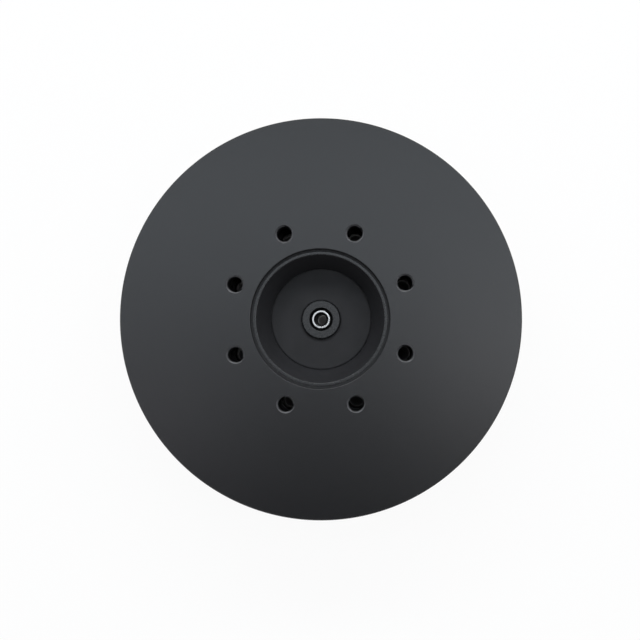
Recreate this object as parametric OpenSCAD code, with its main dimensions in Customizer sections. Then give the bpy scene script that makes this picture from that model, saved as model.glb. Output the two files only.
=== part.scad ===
// Pancake gimbal motor: a flat outer-rotor brushless motor on a hollow shaft.
// Z is the shaft axis, zero the rear mounting face, and the rotor's face is on top.

/* [Rotor bell] */
// Outside diameter of the bell
bell_d = 88; // [86:0.5:96]
// Wall of the bell's skirt
skirt_t = 1.3; // [1:0.1:1.8]
// Thickness of the face plate
face_t = 4; // [3:0.1:6]
// Depth of the hub ring that holds the tapped holes
hub_ring_h = 7; // [6:0.1:8]
// Chamfer round the outer edge of the face
face_chamfer = 0.4; // [0.2:0.05:0.8]
// Chamfer round the lower edge of the skirt
skirt_chamfer = 0.3; // [0.1:0.05:0.5]

/* [Rotor pilot and cup] */
// Diameter of the pilot counterbore in the face
pilot_d = 30.6; // [29.5:0.1:33]
// Depth of the pilot counterbore
pilot_h = 0.8; // [0.5:0.1:1.5]
// Width of the relief groove round the foot of the counterbore
pilot_groove_w = 0.45; // [0.3:0.05:0.6]
// Depth of that groove
pilot_groove_h = 0.35; // [0.2:0.05:0.5]
// How far that groove reaches under the counterbore's wall
pilot_undercut = 0.2; // [0.18:0.02:0.3]
// Diameter of the cup at its rim
cup_rim_d = 28.1; // [26:0.1:29]
// Diameter of the cup at its floor
cup_floor_d = 22.7; // [18:0.1:24]
// Wall between the cup and the inside of the bell
cup_wall_t = 2.2; // [1.6:0.1:2.8]
// Thickness of the cup's floor
cup_floor_t = 3; // [2.5:0.1:3.6]
// Width of the turned groove at the foot of the cup's wall
cup_groove_w = 0.3; // [0.1:0.05:0.6]
// Depth of the turned groove at the foot of the cup's wall
cup_groove_h = 0.25; // [0.1:0.05:0.5]
// Diameter of the boss round the shaft
boss_d = 8.9; // [7:0.1:11]
// Height of the boss above the cup's floor
boss_h = 0.8; // [0.5:0.1:1.5]
// Diameter of the counterbore round the shaft's end
boss_bore_d = 5.2; // [4.7:0.1:6]
// Depth of the counterbore round the shaft's end
boss_bore_h = 2; // [1:0.1:2.5]

/* [Bolt circles] */
// Diameter of the bolt circle, the same on the rotor and the base
bolt_pcd = 40.3; // [38.5:0.1:42]
// Number of tapped holes in each circle
bolt_count = 8; // [4:1:8]
// Tapping drill of the holes
tap_d = 3.3; // [2.5:0.1:4.2]
// Diameter of the countersink at each hole's mouth
tap_mouth_d = 4.05; // [4.05:0.05:5]

/* [Magnetic circuit] */
// Radial air gap between the teeth and the magnets
air_gap = 0.5; // [0.35:0.05:0.8]
// Radial thickness of the steel flux ring
flux_t = 1.6; // [1.2:0.1:2]
// Radial thickness of the magnets
magnet_t = 1.6; // [1.2:0.1:2]
// Number of magnets, an even number
magnet_count = 42; // [28:2:42]
// Gap between neighbouring magnets
magnet_pitch_gap = 0.4; // [0.2:0.05:1]
// Length of the laminated core
core_len = 12; // [11:0.1:20]
// Number of teeth, a multiple of six
tooth_count = 36; // [24:6:36]
// Width of each tooth
tooth_w = 2.4; // [2:0.1:2.6]
// Thickness of the pole shoe at its tips
shoe_t = 1.1; // [0.8:0.1:1.4]
// Taper of the pole shoe from its tips to the tooth
shoe_taper = 0.8; // [0.5:0.1:1]
// Width of each slot's opening between two shoes
slot_opening = 1.5; // [1.2:0.1:2]
// Radial depth of the slots under the shoes
slot_depth = 6.6; // [5.5:0.1:7]
// Radial thickness of the core's yoke
yoke_t = 3.2; // [2.6:0.1:3.6]

/* [Windings] */
// How far the windings stand out past the end insulators
winding_h = 1.5; // [1:0.1:1.9]
// Space between neighbouring coils
coil_gap = 0.5; // [0.3:0.05:0.9]
// Space between a coil and the core at both ends of the slot
coil_end_gap = 0.4; // [0.2:0.05:0.8]
// Thickness of each end insulator
insulator_t = 0.4; // [0.3:0.05:0.6]
// Corner radius of the wound coils
coil_corner_r = 1.4; // [0.6:0.1:1.6]

/* [Base] */
// Thickness of the base plate and its spokes
base_t = 3; // [2.5:0.1:4]
// Height of the rim and of the tapped ring
rim_h = 6; // [5.5:0.1:8]
// Radial thickness of the rim
rim_t = 3.3; // [2.5:0.1:3.8]
// How far the rim lies inside the bell's outer edge
rim_inset = 0.7; // [0.3:0.1:1.2]
// Chamfer round the rim's lower edge
rim_chamfer = 0.5; // [0.2:0.1:1]
// Wall of the tube that carries the core
carrier_t = 2.4; // [1.8:0.1:2.8]
// Width of the shoulder that the core sits on
shoulder_w = 1.4; // [1:0.1:1.8]
// Number of windows in the base
window_count = 8; // [4:1:8]
// Width of each spoke between two windows
spoke_w = 3.7; // [3:0.1:8]
// Width of the ledge between the windows and the rim
ledge_w = 2.2; // [2.1:0.1:3]
// Diameter of the rear pilot recess
recess_d = 16; // [14:0.1:20]
// Depth of the rear pilot recess
recess_h = 1; // [0.6:0.1:1.4]
// Width of the notch for the leads in the rim
notch_w = 9; // [7:0.1:12]

/* [Shaft and bearings] */
// Bore of the bearings and diameter of the shaft
shaft_d = 4; // [3.8:0.1:4.2]
// Bore through the shaft
shaft_bore_d = 2.4; // [1.6:0.1:2.6]
// Diameter of the chamfer at each mouth of the shaft's bore
shaft_mouth_d = 2.9; // [2.7:0.05:3.2]
// Outside diameter of the bearings
bearing_d = 11; // [10.6:0.1:11.6]
// Width of the bearings
bearing_w = 4; // [3.8:0.1:4.5]
// Diameter of the bearing balls
ball_d = 2; // [1.8:0.05:2.1]
// Number of balls in each bearing
ball_count = 7; // [5:1:7]
// Height of the wave spring under preload
spring_h = 0.4; // [0.3:0.05:0.8]
// Length of the land between the two bearing pockets
land_h = 3.2; // [2:0.1:4]
// Outside diameter of the bearing tube
tube_d = 16; // [14:0.1:20]

/* [Hidden] */
$fn = 128;

// How far a cut runs past the face that it opens
overrun = 1;
// Radial clearance of pressed and slid fits
seat_gap = 0.01;
// Radial thickness of a bonded joint
glue_gap = 0.05;

// Heights of the magnetic circuit, from the base up
core_standoff = 2;
core_z0 = rim_h + core_standoff;
core_z1 = core_z0 + core_len;
magnet_overhang = 0.5;
magnet_z0 = core_z0 - magnet_overhang;
magnet_len = core_len + 2 * magnet_overhang;
flux_overhang = 0.5;
flux_z0 = magnet_z0 - flux_overhang;
flux_len = magnet_len + 2 * flux_overhang;
coil_z0 = core_z0 - insulator_t - winding_h;
coil_z1 = core_z1 + insulator_t + winding_h;
coil_clear = 1.6;
skirt_gap = 0.6;
skirt_z0 = rim_h + skirt_gap;
face_z0 = coil_z1 + coil_clear;
motor_h = face_z0 + face_t;
hub_z0 = motor_h - hub_ring_h;

// Radii of the magnetic circuit, from the bell inwards
bell_r = bell_d / 2;
skirt_ir = bell_r - skirt_t;
flux_or = skirt_ir - glue_gap;
flux_ir = flux_or - flux_t;
magnet_or = flux_ir - glue_gap;
magnet_ir = magnet_or - magnet_t;
core_or = magnet_ir - air_gap;
slot_or = core_or - shoe_t;
slot_ir = slot_or - slot_depth;
core_ir = slot_ir - yoke_t;
tooth_angle = 360 / tooth_count;
magnet_angle = 360 / magnet_count;
insulator_inset = 0.2;
insulator_or = core_or - insulator_inset;

// Coils lie between the yoke and the shoes and narrow towards the yoke
coil_x0 = slot_ir + coil_end_gap;
coil_x1 = slot_or - shoe_taper - coil_end_gap;
coil_fit = 0.05;
coil_mid_z = (coil_z0 + coil_z1) / 2;

// Radii of the base
carrier_or = core_ir - seat_gap;
carrier_ir = carrier_or - carrier_t;
shoulder_or = carrier_or + shoulder_w;
rim_or = bell_r - rim_inset;
rim_ir = rim_or - rim_t;
window_edge = 0.8;
window_ir = shoulder_or + window_edge;
window_or = rim_ir - ledge_w;
window_mid_r = (window_ir + window_or) / 2;
window_end_r = (window_or - window_ir) / 2;
window_pitch = 360 / window_count;
window_sweep = window_pitch - 2 * asin((window_end_r + spoke_w / 2) / window_mid_r);
bolt_r = bolt_pcd / 2;
ring_wall = 4.15;
ring_ir = bolt_r - ring_wall;
hub_ring_or = bolt_r + ring_wall;
bolt_pitch = 360 / bolt_count;

// Bearing stack, from the shaft's lower end up; the end lies just above the rear recess
shaft_inset = 0.1;
shaft_z0 = recess_h + shaft_inset;
shaft_tail = 0.5;
circlip_t = 0.5;
washer_t = 0.5;
shim_t = 0.3;
collar_h = 0.4;
tube_lip = 0.4;
circlip_z0 = shaft_z0 + shaft_tail;
washer_z0 = circlip_z0 + circlip_t;
rear_bearing_z = washer_z0 + washer_t;
spring_z0 = rear_bearing_z + bearing_w;
land_z0 = spring_z0 + spring_h;
front_bearing_z = land_z0 + land_h;
shim_z0 = front_bearing_z + bearing_w;
tube_top = shim_z0 + tube_lip;
collar_z0 = shim_z0 + shim_t;
neck_z0 = collar_z0 + collar_h;

// Heights of the cup, from the bearing tube up
tube_clear = 1.9;
cup_z0 = tube_top + tube_clear;
cup_floor_z = cup_z0 + cup_floor_t;
boss_z = cup_floor_z + boss_h;
boss_bore_z = boss_z - boss_bore_h;
shaft_top_inset = 0.2;
shaft_top = boss_z - shaft_top_inset;
cup_rim_z = motor_h - pilot_h;
cup_rim_r = cup_rim_d / 2;
cup_floor_r = cup_floor_d / 2;

// Bearing races, cage and shields
shaft_r = shaft_d / 2;
bearing_r = bearing_d / 2;
ball_r = ball_d / 2;
pitch_r = (shaft_r + bearing_r) / 2;
groove_clear = 0.03;
groove_r = ball_r + groove_clear;
groove_depth = 0.25;
inner_race_or = pitch_r - ball_r + groove_depth;
outer_race_ir = pitch_r + ball_r - groove_depth;
race_chamfer = 0.15;
cage_t = 0.6;
cage_h = 2.6;
cage_pocket_clear = 0.06;
shield_t = 0.2;
shield_inset = 0.15;
shield_gap = 0.15;
land_r = 4.6;
tube_chamfer = 0.3;
spacer_inset = 0.1;
collar_inset = 0.2;
neck_inset = 0.15;

// Shaft and circlip
shaft_chamfer = 0.15;
groove_floor_r = 1.75;
circlip_fit = 0.02;
circlip_w = 1;
circlip_opening = 60;
circlip_ear_r = 0.75;
circlip_ear_hole_r = 0.4;
circlip_ear_r0 = 2.75;

// Wave spring
spring_w = 0.7;
spring_t = 0.15;
spring_waves = 3;
spring_steps = 72;

// Lead exit
grommet_lip_t = 0.6;
grommet_lip_w = 0.8;
grommet_fit = 0.05;
lead_hole_d = 1.7;
lead_pitch = 2.7;
splice_r = 1;
splice_fit = 0.1;
splice_angle = 26;
splice_start_angle = 16;

// A solid of revolution from an outline in radius and height
module turned(outline) {
    rotate_extrude()
        polygon(outline);
}

// A plain ring
module ring(r_in, r_out, z0, h) {
    translate([0, 0, z0])
        linear_extrude(h)
            difference() {
                circle(r_out);
                circle(r_in);
            }
}

// Copies its children round the shaft axis
module around(count, first = 0) {
    for (i = [0 : count - 1])
        rotate([0, 0, first + i * 360 / count])
            children();
}

// One tapped hole from its mouth downwards, drilled at tapping size and countersunk
module tapped_hole(depth) {
    mouth_h = (tap_mouth_d - tap_d) / 2;
    translate([0, 0, -depth - overrun])
        cylinder(h = depth + 2 * overrun, d = tap_d);
    translate([0, 0, -mouth_h])
        cylinder(h = mouth_h + overrun, d1 = tap_d, d2 = tap_mouth_d + 2 * overrun);
}

// The cup's outer wall runs parallel to its inner one
cup_slope = (cup_rim_r - cup_floor_r) / (cup_rim_z - cup_floor_z);
cup_wall_r = cup_wall_t * sqrt(1 + cup_slope * cup_slope);
function cup_outer_r(z) = cup_floor_r + cup_slope * (z - cup_floor_z) + cup_wall_r;

module rotor_bell() {
    collar_r = inner_race_or - collar_inset;
    neck_r = outer_race_ir - neck_inset;
    pilot_groove_z = cup_rim_z - pilot_groove_h;
    bell_outline = [
        [bell_r, skirt_z0 + skirt_chamfer],
        [bell_r, motor_h - face_chamfer],
        [bell_r - face_chamfer, motor_h],
        [pilot_d / 2, motor_h],
        [pilot_d / 2, cup_rim_z],
        [pilot_d / 2 + pilot_undercut, cup_rim_z],
        [pilot_d / 2 + pilot_undercut, pilot_groove_z],
        [pilot_d / 2 - pilot_groove_w, pilot_groove_z],
        [pilot_d / 2 - pilot_groove_w, cup_rim_z],
        [cup_rim_r, cup_rim_z],
        [cup_floor_r, cup_floor_z],
        [cup_floor_r, cup_floor_z - cup_groove_h],
        [cup_floor_r - cup_groove_w, cup_floor_z - cup_groove_h],
        [cup_floor_r - cup_groove_w, cup_floor_z],
        [boss_d / 2, cup_floor_z],
        [boss_d / 2, boss_z],
        [boss_bore_d / 2, boss_z],
        [boss_bore_d / 2, boss_bore_z],
        [shaft_r + seat_gap, boss_bore_z],
        [shaft_r + seat_gap, collar_z0],
        [collar_r, collar_z0],
        [collar_r, neck_z0],
        [neck_r, neck_z0],
        [neck_r, cup_z0],
        [cup_outer_r(cup_z0), cup_z0],
        [cup_outer_r(hub_z0), hub_z0],
        [hub_ring_or, hub_z0],
        [hub_ring_or, face_z0],
        [flux_ir, face_z0],
        [flux_ir, flux_z0 + flux_len],
        [skirt_ir, flux_z0 + flux_len],
        [skirt_ir, skirt_z0],
        [bell_r - skirt_chamfer, skirt_z0]];
    color("#26272a")
        difference() {
            turned(bell_outline);
            around(bolt_count, bolt_pitch / 2)
                translate([bolt_r, 0, motor_h])
                    tapped_hole(hub_ring_h);
        }
}

module flux_ring() {
    color("#7d8084")
        ring(flux_ir, flux_or, flux_z0, flux_len);
}

// Every second magnet, from the given one on
module magnet_row(first) {
    gap_angle = magnet_pitch_gap / magnet_ir * 180 / PI;
    sweep = magnet_angle - gap_angle;
    around(magnet_count / 2, first * magnet_angle - sweep / 2)
        rotate_extrude(angle = sweep)
            translate([magnet_ir, magnet_z0])
                square([magnet_t, magnet_len]);
}

module magnets_north() {
    color("#b9bcc0")
        magnet_row(0);
}

module magnets_south() {
    color("#a9acb2")
        magnet_row(1);
}

module shaft() {
    bore_r = shaft_bore_d / 2;
    mouth_r = shaft_mouth_d / 2;
    mouth_h = mouth_r - bore_r;
    shaft_outline = [
        [bore_r, shaft_z0 + mouth_h],
        [mouth_r, shaft_z0],
        [shaft_r - shaft_chamfer, shaft_z0],
        [shaft_r, shaft_z0 + shaft_chamfer],
        [shaft_r, circlip_z0],
        [groove_floor_r, circlip_z0],
        [groove_floor_r, circlip_z0 + circlip_t],
        [shaft_r, circlip_z0 + circlip_t],
        [shaft_r, shaft_top - shaft_chamfer],
        [shaft_r - shaft_chamfer, shaft_top],
        [mouth_r, shaft_top],
        [bore_r, shaft_top - mouth_h]];
    color("#d5d7da")
        turned(shaft_outline);
}

// Half of a bearing race's section, with the ball groove still to be cut
module race_section(r_seat, r_track, c) {
    polygon([
        [r_track, 0],
        [r_seat - c, 0],
        [r_seat, abs(c)],
        [r_seat, bearing_w - abs(c)],
        [r_seat - c, bearing_w],
        [r_track, bearing_w]]);
}

module bearing_race(z0, r_seat, r_track, c) {
    translate([0, 0, z0])
        rotate_extrude()
            difference() {
                race_section(r_seat, r_track, c);
                translate([pitch_r, bearing_w / 2])
                    circle(groove_r);
            }
}

module outer_race(z0) {
    color("#c3c6ca")
        bearing_race(z0, bearing_r, outer_race_ir, race_chamfer);
}

module inner_race(z0) {
    color("#c3c6ca")
        bearing_race(z0, shaft_r + seat_gap, inner_race_or, -race_chamfer);
}

module balls(z0) {
    color("#e2e4e6")
        around(ball_count)
            translate([pitch_r, 0, z0 + bearing_w / 2])
                sphere(ball_r);
}

module cage(z0) {
    mid_z = z0 + bearing_w / 2;
    color("#b59a5a")
        difference() {
            ring(pitch_r - cage_t / 2, pitch_r + cage_t / 2, mid_z - cage_h / 2, cage_h);
            around(ball_count)
                translate([pitch_r, 0, mid_z])
                    sphere(ball_r + cage_pocket_clear);
        }
}

module shields(z0) {
    r_in = inner_race_or + shield_gap;
    r_out = outer_race_ir - seat_gap;
    color("#9a9da1") {
        ring(r_in, r_out, z0 + shield_inset, shield_t);
        ring(r_in, r_out, z0 + bearing_w - shield_inset - shield_t, shield_t);
    }
}

module front_bearing_inner_race() {
    inner_race(front_bearing_z);
}

module rear_bearing_inner_race() {
    inner_race(rear_bearing_z);
}

module front_bearing_outer_race() {
    outer_race(front_bearing_z);
}

module rear_bearing_outer_race() {
    outer_race(rear_bearing_z);
}

module front_bearing_balls() {
    balls(front_bearing_z);
}

module rear_bearing_balls() {
    balls(rear_bearing_z);
}

module front_bearing_cage() {
    cage(front_bearing_z);
}

module rear_bearing_cage() {
    cage(rear_bearing_z);
}

module front_bearing_shields() {
    shields(front_bearing_z);
}

module rear_bearing_shields() {
    shields(rear_bearing_z);
}

module inner_race_spacer() {
    color("#aeb1b5")
        ring(shaft_r + seat_gap, inner_race_or - spacer_inset, spring_z0, spring_h + land_h);
}

module front_shim() {
    color("#8d9094")
        ring(shaft_r + seat_gap, inner_race_or - spacer_inset, shim_z0, shim_t);
}

module rear_thrust_washer() {
    color("#8d9094")
        ring(shaft_r + seat_gap, inner_race_or, washer_z0, washer_t);
}

// Retaining ring with two ears, open on one side
module shaft_circlip() {
    r_in = groove_floor_r + circlip_fit;
    r_out = r_in + circlip_w;
    ear_angle = circlip_opening / 2 + asin(circlip_ear_r / circlip_ear_r0);
    reach = r_out + overrun;
    color("#55585c")
        translate([0, 0, circlip_z0])
            linear_extrude(circlip_t)
                difference() {
                    union() {
                        difference() {
                            circle(r_out);
                            polygon([[0, 0],
                                [reach, reach * tan(circlip_opening / 2)],
                                [reach, -reach * tan(circlip_opening / 2)]]);
                        }
                        for (side = [-1, 1])
                            rotate([0, 0, side * ear_angle])
                                translate([circlip_ear_r0, 0])
                                    circle(circlip_ear_r);
                    }
                    circle(r_in);
                    for (side = [-1, 1])
                        rotate([0, 0, side * ear_angle])
                            translate([circlip_ear_r0, 0])
                                circle(circlip_ear_hole_r);
                }
}

// One kidney-shaped window in the base, on the X axis
module window() {
    union() {
        rotate([0, 0, -window_sweep / 2])
            rotate_extrude(angle = window_sweep)
                translate([window_ir, -overrun])
                    square([window_or - window_ir, base_t + 2 * overrun]);
        for (side = [-1, 1])
            rotate([0, 0, side * window_sweep / 2])
                translate([window_mid_r, 0, -overrun])
                    cylinder(h = base_t + 2 * overrun, r = window_end_r);
    }
}

module stator_base() {
    pocket_r = bearing_r + seat_gap;
    base_outline = [
        [pocket_r, recess_h],
        [pocket_r, land_z0],
        [land_r, land_z0],
        [land_r, front_bearing_z],
        [pocket_r, front_bearing_z],
        [pocket_r, tube_top - tube_chamfer],
        [pocket_r + tube_chamfer, tube_top],
        [tube_d / 2 - tube_chamfer, tube_top],
        [tube_d / 2, tube_top - tube_chamfer],
        [tube_d / 2, base_t],
        [ring_ir, base_t],
        [ring_ir, rim_h],
        [carrier_ir, rim_h],
        [carrier_ir, core_z1],
        [carrier_or, core_z1],
        [carrier_or, core_z0],
        [shoulder_or, core_z0],
        [shoulder_or, base_t],
        [rim_ir, base_t],
        [rim_ir, rim_h],
        [rim_or, rim_h],
        [rim_or, rim_chamfer],
        [rim_or - rim_chamfer, 0],
        [recess_d / 2, 0],
        [recess_d / 2, recess_h]];
    color("#2b2c2f")
        difference() {
            turned(base_outline);
            around(window_count)
                window();
            around(bolt_count, bolt_pitch / 2)
                translate([bolt_r, 0, 0])
                    mirror([0, 0, 1])
                        tapped_hole(rim_h);
            translate([-notch_w / 2, -rim_or - overrun, base_t])
                cube([notch_w, rim_t + 2 * overrun, rim_h - base_t + overrun]);
        }
}

// One slot between two teeth, on the X axis, wide under the shoes and narrow at its mouth
module slot() {
    half_pitch = tooth_angle / 2;
    function half_w(x) = x * tan(half_pitch) - tooth_w / 2 / cos(half_pitch);
    shoe_x = slot_or - shoe_taper;
    mouth_x = core_or + overrun;
    polygon([
        [slot_ir, -half_w(slot_ir)],
        [shoe_x, -half_w(shoe_x)],
        [slot_or, -slot_opening / 2],
        [mouth_x, -slot_opening / 2],
        [mouth_x, slot_opening / 2],
        [slot_or, slot_opening / 2],
        [shoe_x, half_w(shoe_x)],
        [slot_ir, half_w(slot_ir)]]);
}

// Toothed plate, as a lamination or an end insulator
module toothed_plate(r_in, r_out, z0, h) {
    translate([0, 0, z0])
        linear_extrude(h)
            difference() {
                circle(r_out);
                circle(r_in);
                around(tooth_count, tooth_angle / 2)
                    slot();
            }
}

module stator_core() {
    color("#3f444c")
        toothed_plate(core_ir, core_or, core_z0, core_len);
}

module front_end_insulator() {
    color("#d9d3bd")
        toothed_plate(core_ir, insulator_or, core_z1, insulator_t);
}

module rear_end_insulator() {
    color("#d9d3bd")
        toothed_plate(shoulder_or + seat_gap, insulator_or, core_z0 - insulator_t, insulator_t);
}

module rounded_rectangle(w, h, r) {
    square([w, h - 2 * r], center = true);
    square([w - 2 * r, h], center = true);
    for (sx = [-1, 1], sy = [-1, 1])
        translate([sx * (w / 2 - r), sy * (h / 2 - r)])
            circle(r);
}

// One coil round the tooth on the X axis
module coil() {
    half_pitch = tooth_angle / 2;
    function half_w(x) = x * tan(half_pitch) - coil_gap / 2 / cos(half_pitch);
    radial_len = coil_x1 - coil_x0;
    window_w = tooth_w + 2 * coil_fit;
    window_h = core_len + 2 * insulator_t;
    difference() {
        intersection() {
            translate([coil_x0, 0, coil_mid_z])
                rotate([90, 0, 90])
                    linear_extrude(radial_len)
                        rounded_rectangle(2 * half_w(coil_x1), coil_z1 - coil_z0, coil_corner_r);
            translate([0, 0, coil_z0 - overrun])
                linear_extrude(coil_z1 - coil_z0 + 2 * overrun)
                    polygon([
                        [coil_x0, -half_w(coil_x0)],
                        [coil_x1, -half_w(coil_x1)],
                        [coil_x1, half_w(coil_x1)],
                        [coil_x0, half_w(coil_x0)]]);
        }
        translate([coil_x0 - overrun, -window_w / 2, coil_mid_z - window_h / 2])
            cube([radial_len + 2 * overrun, window_w, window_h]);
    }
}

// A phase takes every third pair of neighbouring teeth
module phase(number) {
    color("#b8703a")
        for (i = [0 : tooth_count - 1])
            if (floor(i % 6 / 2) == number)
                rotate([0, 0, i * tooth_angle])
                    coil();
}

module coils_phase_a() {
    phase(0);
}

module coils_phase_b() {
    phase(1);
}

module coils_phase_c() {
    phase(2);
}

// Flat ring bent into waves, standing between the rear outer race and the land
module bearing_wave_spring() {
    r_out = bearing_r - spacer_inset;
    r_in = r_out - spring_w;
    swing = spring_h / 2 - spring_t / 2 - seat_gap;
    function corner(r, a, z) = [r * cos(a), r * sin(a), z];
    function height(a) = spring_z0 + spring_h / 2 + swing * sin(spring_waves * a);
    angles = [for (i = [0 : spring_steps - 1]) i * 360 / spring_steps];
    points = [for (a = angles) each [
        corner(r_in, a, height(a) - spring_t / 2),
        corner(r_out, a, height(a) - spring_t / 2),
        corner(r_out, a, height(a) + spring_t / 2),
        corner(r_in, a, height(a) + spring_t / 2)]];
    faces = [for (i = [0 : spring_steps - 1], k = [0 : 3])
        let (b = 4 * i, n = 4 * ((i + 1) % spring_steps), m = (k + 1) % 4)
        each [[b + k, b + m, n + m], [b + k, n + m, n + k]]];
    color("#83868b")
        polyhedron(points, faces);
}

// Rubber grommet in the rim's notch, with a lip inside and outside and three holes
module lead_grommet() {
    body_w = notch_w - 2 * grommet_fit;
    lip_w = notch_w + 2 * grommet_lip_w;
    body_h = rim_h - base_t;
    module slice(r_in, r_out, w) {
        intersection() {
            ring(r_in, r_out, base_t, body_h);
            translate([-w / 2, -rim_or - overrun, base_t - overrun])
                cube([w, rim_t + 4 * overrun, body_h + 2 * overrun]);
        }
    }
    color("#1b1b1c")
        difference() {
            union() {
                slice(rim_ir - seat_gap - grommet_lip_t, rim_or + seat_gap, body_w);
                slice(rim_or + seat_gap, rim_or + grommet_lip_t - seat_gap, lip_w);
                slice(rim_ir - seat_gap - grommet_lip_t, rim_ir - seat_gap, lip_w);
            }
            for (i = [-1 : 1])
                translate([i * lead_pitch, 0, base_t + body_h / 2])
                    rotate([90, 0, 0])
                        cylinder(h = bell_r + overrun, d = lead_hole_d);
        }
}

// Sleeve over the star point, lying on the ledge beside the rim
module star_splice_sleeve() {
    notch_angle = 270;
    color("#202123")
        rotate([0, 0, notch_angle + splice_start_angle])
            rotate_extrude(angle = splice_angle)
                translate([rim_ir - splice_fit - splice_r, base_t + splice_r])
                    circle(splice_r);
}

rotor_bell();
flux_ring();
magnets_north();
magnets_south();
shaft();
front_bearing_inner_race();
rear_bearing_inner_race();
inner_race_spacer();
front_shim();
rear_thrust_washer();
shaft_circlip();
stator_base();
stator_core();
front_end_insulator();
rear_end_insulator();
coils_phase_a();
coils_phase_b();
coils_phase_c();
front_bearing_outer_race();
rear_bearing_outer_race();
front_bearing_shields();
rear_bearing_shields();
bearing_wave_spring();
lead_grommet();
star_splice_sleeve();
front_bearing_balls();
front_bearing_cage();
rear_bearing_balls();
rear_bearing_cage();
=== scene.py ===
"""Looks of a pancake gimbal motor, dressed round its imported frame.

Sizes in the classes are millimetres, and a mesh is scaled to metres when it is handed over. Z is the shaft
axis, zero the rear mounting face, and the rotor's face is on top.
"""

import logging
import math
import random
from dataclasses import dataclass, replace
from enum import Enum
from itertools import product
from typing import Any, Callable, Mapping, Sequence

import bmesh
import bpy
from bmesh.types import BMesh, BMFace
from mathutils import Matrix, Quaternion, Vector


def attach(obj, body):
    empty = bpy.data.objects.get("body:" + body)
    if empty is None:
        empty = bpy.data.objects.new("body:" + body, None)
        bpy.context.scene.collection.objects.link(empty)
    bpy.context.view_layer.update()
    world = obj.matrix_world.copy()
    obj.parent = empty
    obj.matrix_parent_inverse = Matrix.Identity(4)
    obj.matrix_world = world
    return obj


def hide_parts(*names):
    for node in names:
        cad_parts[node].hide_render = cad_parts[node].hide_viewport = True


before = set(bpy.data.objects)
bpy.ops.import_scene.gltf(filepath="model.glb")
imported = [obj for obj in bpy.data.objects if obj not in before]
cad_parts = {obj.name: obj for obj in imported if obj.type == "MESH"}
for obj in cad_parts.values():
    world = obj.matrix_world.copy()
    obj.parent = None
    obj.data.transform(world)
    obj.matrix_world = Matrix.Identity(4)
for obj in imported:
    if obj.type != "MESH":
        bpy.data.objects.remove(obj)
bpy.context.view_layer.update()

MM = 0.001
MERGE = 1e-4
UP = (0.0, 0.0, 1.0)
ORIGIN = (0.0, 0.0, 0.0)
LOG = logging.getLogger("gimbal_motor")

Triple = tuple[float, float, float]
Colour = Triple
Socket = bpy.types.NodeSocket


class Body(Enum):
    """Bodies of the frame that the pieces ride on."""

    STATOR = "stator"
    ROTOR = "rotor"


class Slot(Enum):
    """Material slots of the record, one named for each piece; the finishes are set apart from them."""

    BELL = "anodised_bell"
    BASE = "anodised_base"
    FLUX = "flux_steel"
    MAGNET = "magnet"
    SHAFT = "shaft_steel"
    BEARING = "bearing_steel"
    CORE = "core_steel"
    BOARD = "insulating_board"
    COPPER = "enamelled_copper"
    RUBBER = "grommet_rubber"
    SHRINK = "heat_shrink"


def linked(name: str, data: bpy.types.ID) -> bpy.types.Object:
    """Puts a mesh, a curve, a lamp or a camera in the scene.

    Args:
        name: The new object's name.
        data: What it holds.

    Returns:
        The object.
    """
    thing = bpy.data.objects.new(name, data)
    bpy.context.scene.collection.objects.link(thing)
    return thing


def evaluated(thing: bpy.types.Object) -> bpy.types.Mesh:
    """Gives an object's mesh with its modifiers applied."""
    return thing.evaluated_get(bpy.context.evaluated_depsgraph_get()).to_mesh()


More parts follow.
